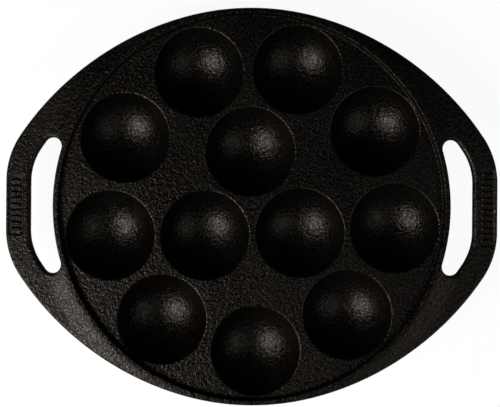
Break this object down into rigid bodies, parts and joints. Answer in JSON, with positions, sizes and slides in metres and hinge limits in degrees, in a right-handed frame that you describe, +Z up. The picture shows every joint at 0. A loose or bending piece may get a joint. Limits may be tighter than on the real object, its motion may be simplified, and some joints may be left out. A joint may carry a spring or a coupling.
{
  "type": "aebleskiver pan",
  "caption": "Cast-iron aebleskiver pan: a round tray of hemispherical bowls inside a flange with a loop handle at each end, standing on flat feet under the bowls.",
  "frame": {"origin": "on the surface the pan stands on, under the middle of the tray", "axes": "+X along the handles, towards the grip with the longer panel; +Y across, towards the pair of outer bowls beside the single inner bowl; +Z up"},
  "size_m": [0.302, 0.2436, 0.0317],
  "materials": {
    "seasoned_iron": "sand-cast, oil-seasoned, semi-matt warm black"
  },
  "bodies": {
    "root": {"floor_plate": "seasoned_iron", "rim_flange": "seasoned_iron", "right_handle": "seasoned_iron", "left_handle": "seasoned_iron", "right_grip_bars": "seasoned_iron", "left_grip_bars": "seasoned_iron", "outer_well_1": "seasoned_iron", "outer_well_2": "seasoned_iron", "outer_well_3": "seasoned_iron", "outer_well_4": "seasoned_iron", "outer_well_5": "seasoned_iron", "outer_well_6": "seasoned_iron", "outer_well_7": "seasoned_iron", "outer_well_8": "seasoned_iron", "outer_well_9": "seasoned_iron", "inner_well_1": "seasoned_iron", "inner_well_2": "seasoned_iron", "inner_well_3": "seasoned_iron"}
  },
  "joints": []
}
